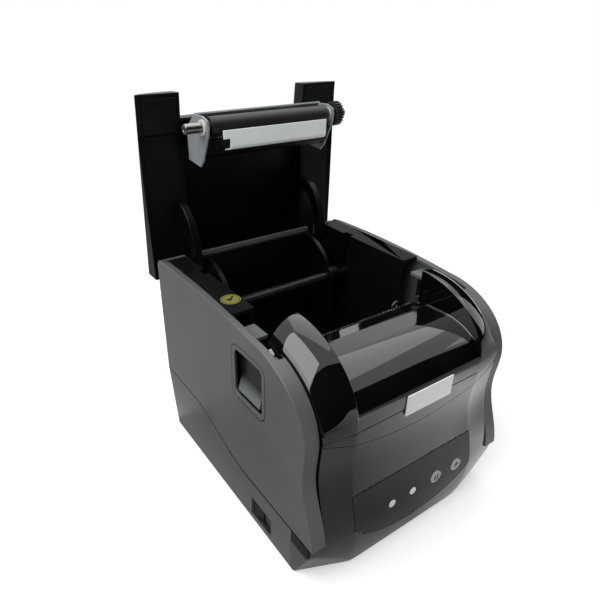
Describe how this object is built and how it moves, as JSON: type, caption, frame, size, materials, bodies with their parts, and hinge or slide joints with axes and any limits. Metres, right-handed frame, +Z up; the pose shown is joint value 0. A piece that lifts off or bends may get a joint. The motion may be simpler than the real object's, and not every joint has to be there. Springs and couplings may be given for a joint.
{
  "type": "receipt printer",
  "caption": "Desktop receipt printer with an open clamshell lid, a rubber platen on the lid, a paper well with a roll spindle and a curved front with a button panel.",
  "frame": {"origin": "middle of the bounding box, at the underside of the feet, with the lid open", "axes": "+X to the right as seen from the front, +Y towards the rear, +Z up"},
  "size_m": [0.15, 0.2071, 0.2344],
  "materials": {
    "satin_charcoal": "fine satin texture",
    "gloss_black": "piano gloss",
    "inner_black": "fine matt texture",
    "overlay_grey": "satin film",
    "button_grey": "satin",
    "lever_grey": "satin",
    "steel_sheet": "zinc plated sheet",
    "turned_steel": "turned",
    "platen_rubber": "ground",
    "label_white": "smooth film",
    "seal_yellow": "smooth film",
    "foot_rubber": "matt",
    "board_green": "solder mask",
    "gear_white": "moulded",
    "gear_black": "moulded",
    "brass_pinion": "machined",
    "head_ceramic": "glazed",
    "heatsink": "pressed",
    "switch_black": "satin gloss"
  },
  "bodies": {
    "housing": {"base_tray": "satin_charcoal", "side_panel_left": "satin_charcoal", "side_panel_right": "satin_charcoal", "rear_panel": "satin_charcoal", "inner_frame": "inner_black", "front_hood": "gloss_black", "front_band": "gloss_black", "front_cover": "gloss_black", "panel_overlay": "overlay_grey", "status_lights": "button_grey", "control_board": "board_green", "label_plate": "label_white", "ledge_seal": "seal_yellow", "switch_body": "switch_black", "dc_inlet": "switch_black", "usb_port": "turned_steel", "drawer_port": "switch_black", "main_board": "board_green", "board_posts": "satin_charcoal", "rubber_feet": "foot_rubber", "base_screws": "turned_steel", "mech_chassis": "steel_sheet", "stepper_motor": "turned_steel", "idler_axle": "turned_steel", "head_rod": "turned_steel", "head_springs": "turned_steel", "tear_bar": "steel_sheet", "latch_pins": "turned_steel", "roll_spindle": "lever_grey", "hinge_pins": "turned_steel"},
    "lid": {"lid_shell": "inner_black", "lid_liners": "inner_black", "lid_hinge_arms": "inner_black", "platen_bracket": "steel_sheet", "bracket_screws": "turned_steel", "platen_cover": "inner_black", "guide_plate": "steel_sheet", "platen_bushes": "gear_white"},
    "platen": {"platen_shaft": "turned_steel", "platen_rubber": "platen_rubber", "platen_gear": "gear_black"},
    "pinion": {"motor_pinion": "brass_pinion"},
    "idler": {"idler_gear": "gear_white"},
    "head": {"print_head": "head_ceramic", "head_heatsink": "heatsink"},
    "latch_left": {"latch_hook_left": "steel_sheet", "release_lever_left": "lever_grey"},
    "latch_right": {"latch_hook_right": "steel_sheet", "release_lever_right": "lever_grey"},
    "pause": {"pause_button": "button_grey"},
    "feed": {"feed_button": "button_grey"},
    "rocker": {"power_rocker": "switch_black"},
    "guide_left": {"paper_guide_left": "inner_black"},
    "guide_right": {"paper_guide_right": "inner_black"}
  },
  "joints": [
    {"name": "lid_hinge", "type": "hinge", "parent": "housing", "child": "lid", "pos_m": [0, 0.06648, 0.1232], "axis": [-1, 0, 0], "range_deg": [-92, 0]},
    {"name": "platen_spin", "type": "hinge", "parent": "lid", "child": "platen", "pos_m": [0, 0.05149, 0.21818], "axis": [1, 0, 0], "continuous": true},
    {"name": "idler_spin", "type": "hinge", "parent": "housing", "child": "idler", "pos_m": [0.05, -0.04423, 0.09729], "axis": [1, 0, 0], "continuous": true},
    {"name": "pinion_spin", "type": "hinge", "parent": "housing", "child": "pinion", "pos_m": [0.05, -0.05603, 0.08903], "axis": [1, 0, 0], "continuous": true},
    {"name": "head_tilt", "type": "hinge", "parent": "housing", "child": "head", "pos_m": [0, -0.03069, 0.09221], "axis": [1, 0, 0], "range_deg": [0, 2], "stiffness_Nm_per_rad": 2, "springref_deg": -2.29},
    {"name": "latch_left_pull", "type": "hinge", "parent": "housing", "child": "latch_left", "pos_m": [-0.06, -0.03852, 0.0807], "axis": [1, 0, 0], "range_deg": [0, 6], "stiffness_Nm_per_rad": 0.3, "springref_deg": -8.59},
    {"name": "latch_right_pull", "type": "hinge", "parent": "housing", "child": "latch_right", "pos_m": [0.06, -0.03852, 0.0807], "axis": [1, 0, 0], "range_deg": [0, 6], "stiffness_Nm_per_rad": 0.3, "springref_deg": -8.59},
    {"name": "pause_press", "type": "slide", "parent": "housing", "child": "pause", "axis": [0, 1, 0], "range_m": [0, 0.0008], "stiffness_N_per_m": 300, "springref_m": -0.001},
    {"name": "feed_press", "type": "slide", "parent": "housing", "child": "feed", "axis": [0, 1, 0], "range_m": [0, 0.0008], "stiffness_N_per_m": 300, "springref_m": -0.001},
    {"name": "power_rock", "type": "hinge", "parent": "housing", "child": "rocker", "pos_m": [-0.07, -0.05252, 0.0114], "axis": [0, 0, 1], "range_deg": [-14, 0]},
    {"name": "guide_left_slide", "type": "slide", "parent": "housing", "child": "guide_left", "axis": [1, 0, 0], "range_m": [0, 0.011]},
    {"name": "guide_right_slide", "type": "slide", "parent": "housing", "child": "guide_right", "axis": [1, 0, 0], "range_m": [-0.011, 0]}
  ],
  "couplings": [
    {"joint": "pinion_spin", "follows": "idler_spin", "ratio": -3},
    {"joint": "guide_right_slide", "follows": "guide_left_slide", "ratio": -1}
  ]
}
